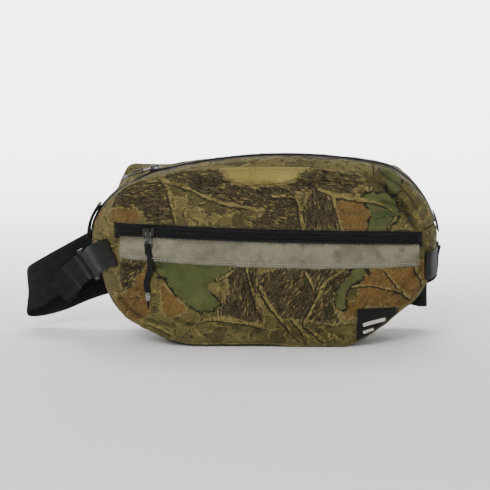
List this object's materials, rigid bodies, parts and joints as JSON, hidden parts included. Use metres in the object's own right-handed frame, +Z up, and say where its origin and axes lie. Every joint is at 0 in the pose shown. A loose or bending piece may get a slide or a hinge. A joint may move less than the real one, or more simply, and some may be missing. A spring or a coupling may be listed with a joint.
{
  "type": "sling bag",
  "caption": "Camouflage fabric hip or sling bag with arched main zip, front pocket zip, reflective strip and a folded belt with side-release buckle.",
  "frame": {"origin": "centre of the flat base, on the underside", "axes": "+X along the bag to its right as seen from the front, +Y to the wearer's side, +Z up"},
  "size_m": [0.4599, 0.1397, 0.2014],
  "materials": {
    "camo": "woven cotton blend with a woodland bark, branch and leaf print",
    "webbing": "black polypropylene webbing",
    "zip_tape": "black woven zip tape",
    "coil": "black nylon coil",
    "slider": "black enamelled die casting",
    "pull_tab": "worn nickel",
    "cord": "black braided flat cord",
    "bead": "clear grey moulding",
    "reflective": "worn grey reflective tape",
    "label": null,
    "lining": "coated black lining",
    "mesh": "black spacer mesh over foam",
    "plastic": "black acetal with a fine texture"
  },
  "bodies": {
    "bag": {"back_pad": "mesh", "back_panel": "camo", "bottom_gusset": "camo", "buckle_female": "plastic", "front_panel_lower": "camo", "front_panel_upper": "camo", "label_patch": "label", "left_belt": "webbing", "left_gusset": "camo", "left_side_tab": "webbing", "left_stabiliser_strap": "webbing", "main_zip_coil_back": "coil", "main_zip_coil_left_end": "coil", "main_zip_coil_right_end": "coil", "main_zip_garage_left": "webbing", "main_zip_garage_right": "webbing", "main_zip_tape_back": "zip_tape", "main_zip_tape_left_end": "zip_tape", "main_zip_tape_right_end": "zip_tape", "pocket_divider": "lining", "pocket_zip_coil": "coil", "pocket_zip_tape_lower": "zip_tape", "pocket_zip_tape_upper": "zip_tape", "reflective_strip": "reflective", "right_belt": "webbing", "right_gusset": "camo", "right_side_tab": "webbing", "right_stabiliser_strap": "webbing", "top_corner_left": "camo", "top_corner_right": "camo", "top_gusset_back": "camo"},
    "main_slider": {"main_zip_slider": "slider"},
    "main_tab": {"main_zip_pull_tab": "pull_tab"},
    "main_cord": {"main_zip_pull_cord": "cord", "main_zip_pull_bead": "bead"},
    "mouth": {"mouth_flap": "camo", "main_zip_tape_front": "zip_tape", "main_zip_coil_front": "coil"},
    "pocket_slider": {"pocket_zip_slider": "slider"},
    "pocket_tab": {"pocket_zip_pull_tab": "pull_tab"},
    "pocket_cord": {"pocket_zip_pull_cord": "cord", "pocket_zip_pull_bead": "bead"},
    "left_ring": {"left_ring": "plastic"},
    "right_ring": {"right_ring": "plastic"},
    "buckle_plug": {"buckle_male": "plastic", "belt_adjusting_strap": "webbing"},
    "prong_upper": {"buckle_prong_upper": "plastic"},
    "prong_lower": {"buckle_prong_lower": "plastic"},
    "adjuster": {"belt_adjuster": "plastic"},
    "keeper": {"elastic_keeper": "webbing"}
  },
  "joints": [
    {"name": "main_zip_slide", "type": "hinge", "parent": "bag", "child": "main_slider", "pos_m": [0.02, 0, -0.327], "axis": [0, 1, 0], "range_deg": [0, 26.5]},
    {"name": "main_pull_swing", "type": "hinge", "parent": "main_slider", "child": "main_tab", "pos_m": [-0.11918, 0, 0.18595], "axis": [0, 1, 0], "range_deg": [0, 110]},
    {"name": "main_cord_swing", "type": "hinge", "parent": "main_tab", "child": "main_cord", "pos_m": [-0.13365, 0, 0.18203], "axis": [0, 1, 0], "range_deg": [0, 60]},
    {"name": "mouth_open", "type": "hinge", "parent": "bag", "child": "mouth", "pos_m": [0.02, -0.042, 0.1915], "axis": [1, 0, 0], "range_deg": [0, 75]},
    {"name": "pocket_zip_slide", "type": "hinge", "parent": "bag", "child": "pocket_slider", "pos_m": [0, 0.80673, 0.122], "axis": [0.0297, 0, 0.9996], "range_deg": [0, 16.4]},
    {"name": "pocket_pull_swing", "type": "hinge", "parent": "pocket_slider", "child": "pocket_tab", "pos_m": [-0.12464, -0.05796, 0.1257], "axis": [-0.9893, 0.143, 0.029], "range_deg": [0, 110]},
    {"name": "pocket_cord_swing", "type": "hinge", "parent": "pocket_tab", "child": "pocket_cord", "pos_m": [-0.12464, -0.05796, 0.1107], "axis": [-0.9893, 0.143, 0.029], "range_deg": [0, 60]},
    {"name": "left_ring_tilt", "type": "hinge", "parent": "bag", "child": "left_ring", "pos_m": [-0.18892, 0.0079, 0.08036], "axis": [-0.5478, 0, 0.8366], "range_deg": [-5, 5]},
    {"name": "right_ring_tilt", "type": "hinge", "parent": "bag", "child": "right_ring", "pos_m": [0.18169, 0.0242, 0.08451], "axis": [0.0499, 0, 0.9988], "range_deg": [-5, 5]},
    {"name": "buckle_release", "type": "slide", "parent": "bag", "child": "buckle_plug", "axis": [-1, 0, 0], "range_m": [0, 0.042]},
    {"name": "prong_upper_squeeze", "type": "hinge", "parent": "buckle_plug", "child": "prong_upper", "pos_m": [0.014, 0.069, 0.075], "axis": [0, 1, 0], "range_deg": [0, 9.2]},
    {"name": "prong_lower_squeeze", "type": "hinge", "parent": "buckle_plug", "child": "prong_lower", "pos_m": [0.014, 0.069, 0.045], "axis": [0, -1, 0], "range_deg": [0, 9.2]},
    {"name": "belt_adjuster_slide", "type": "slide", "parent": "bag", "child": "adjuster", "axis": [1, 0, 0], "range_m": [-0.03, 0]},
    {"name": "elastic_keeper_slide", "type": "slide", "parent": "bag", "child": "keeper", "axis": [1, 0, 0], "range_m": [-0.02, 0]}
  ],
  "couplings": [
    {"joint": "prong_upper_squeeze", "follows": "buckle_release", "rad_per_m": 3.74},
    {"joint": "prong_lower_squeeze", "follows": "buckle_release", "rad_per_m": 3.74}
  ]
}
